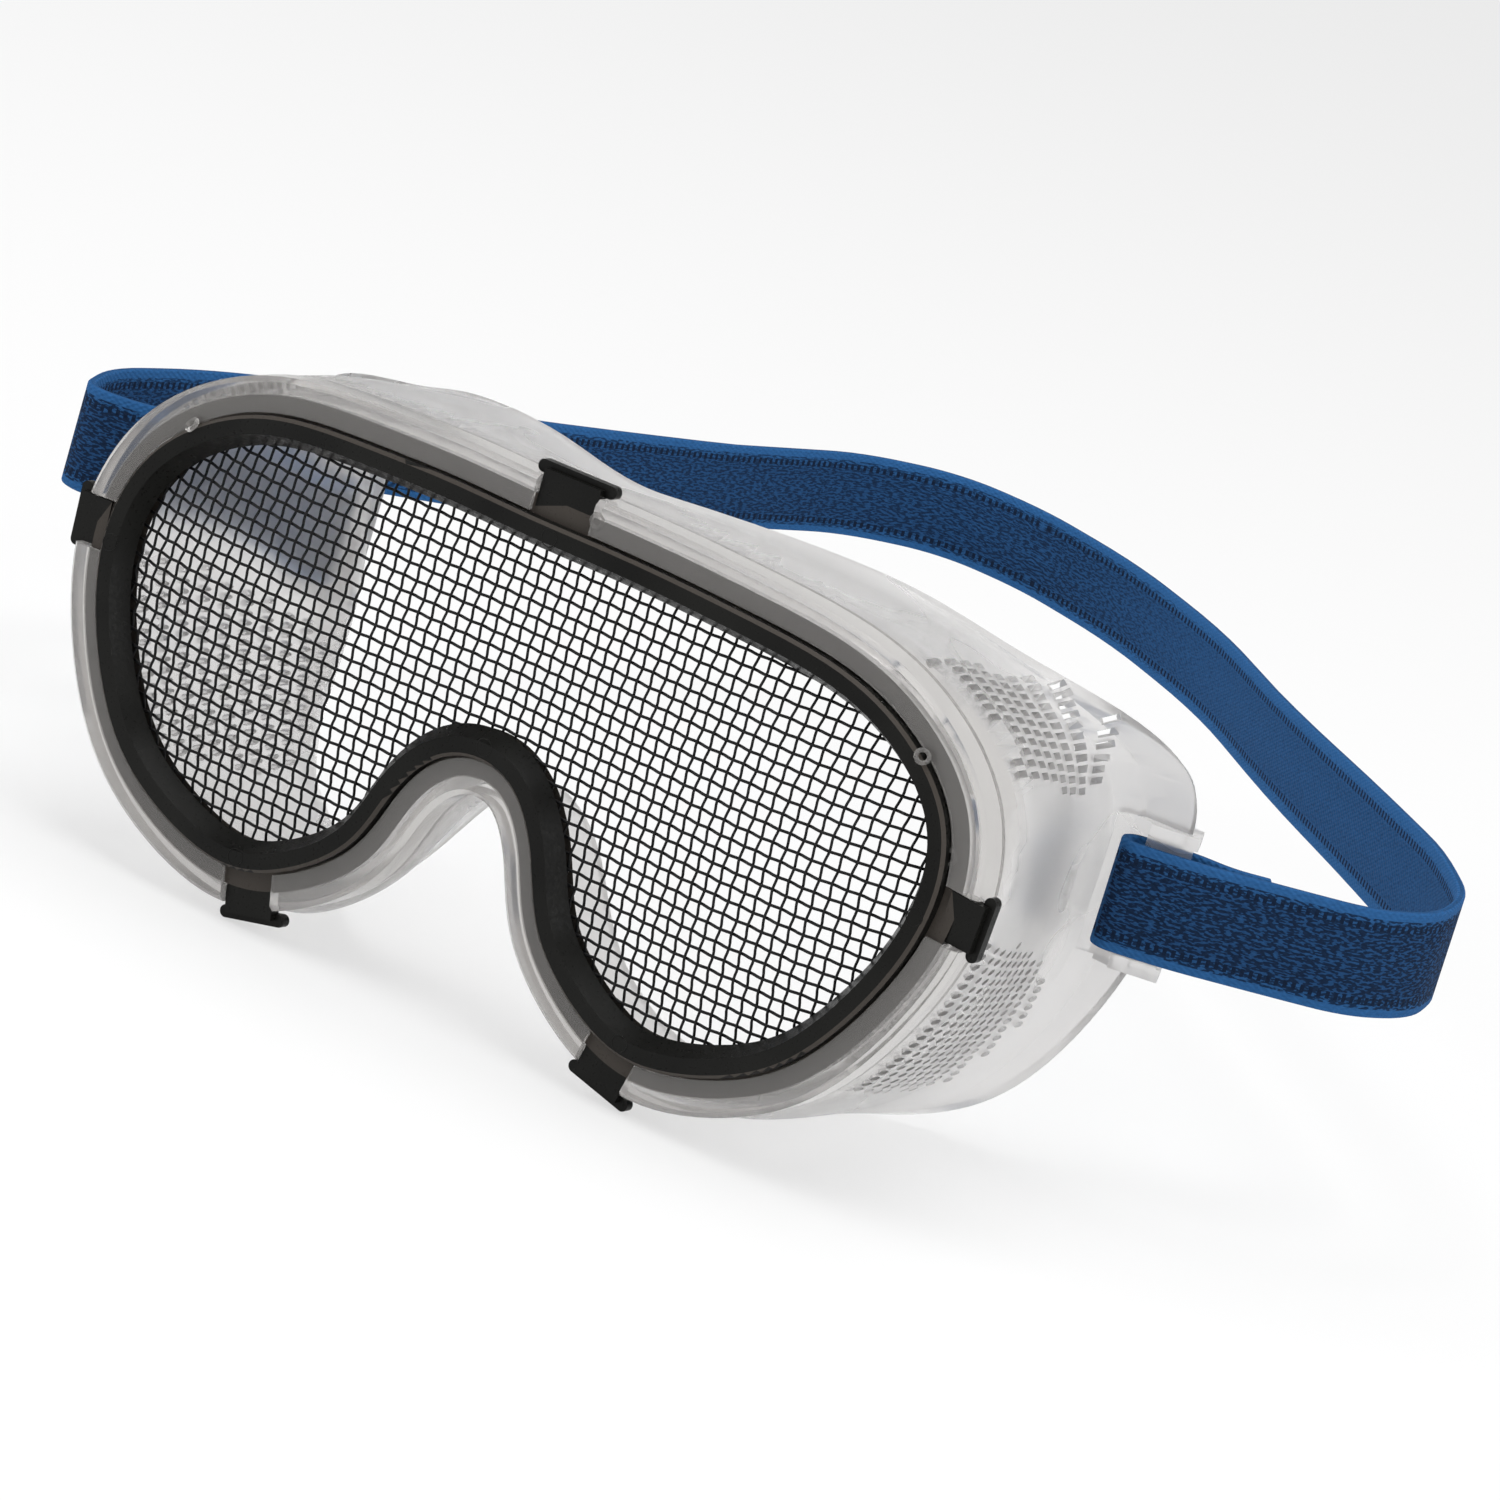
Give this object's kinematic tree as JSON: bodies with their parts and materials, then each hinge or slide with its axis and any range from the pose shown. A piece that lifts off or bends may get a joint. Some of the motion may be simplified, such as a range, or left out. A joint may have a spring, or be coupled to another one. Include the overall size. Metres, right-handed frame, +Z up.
{
  "type": "mesh safety goggles",
  "caption": "Soft clear goggles with a black woven wire mesh in a black frame and a blue elastic head strap.",
  "frame": {"origin": "on the inner brow edge of the seal, in the symmetry plane and level with the middle of the wire mesh", "axes": "-Y out through the mesh along the line of sight, +Z up the face, +X to the right of a viewer who looks at the mesh from outside"},
  "size_m": [0.2313, 0.2312, 0.0832],
  "materials": {
    "clear_vinyl": "soft, see-through, smooth",
    "black_plastic": "semi-gloss moulded",
    "black_wire": "black painted wire",
    "blue_webbing": "knitted elastic, matte"
  },
  "bodies": {
    "root": {"goggle_body": "clear_vinyl", "lens_frame": "black_plastic", "mesh_warp_wires": "black_wire", "mesh_weft_wires": "black_wire"},
    "strap": {"head_strap": "blue_webbing"}
  },
  "joints": [
    {"name": "strap_swing", "type": "hinge", "parent": "root", "child": "strap", "pos_m": [0, 0.0313, 0.0031], "axis": [1, 0, 0], "range_deg": [-5, 5]}
  ]
}
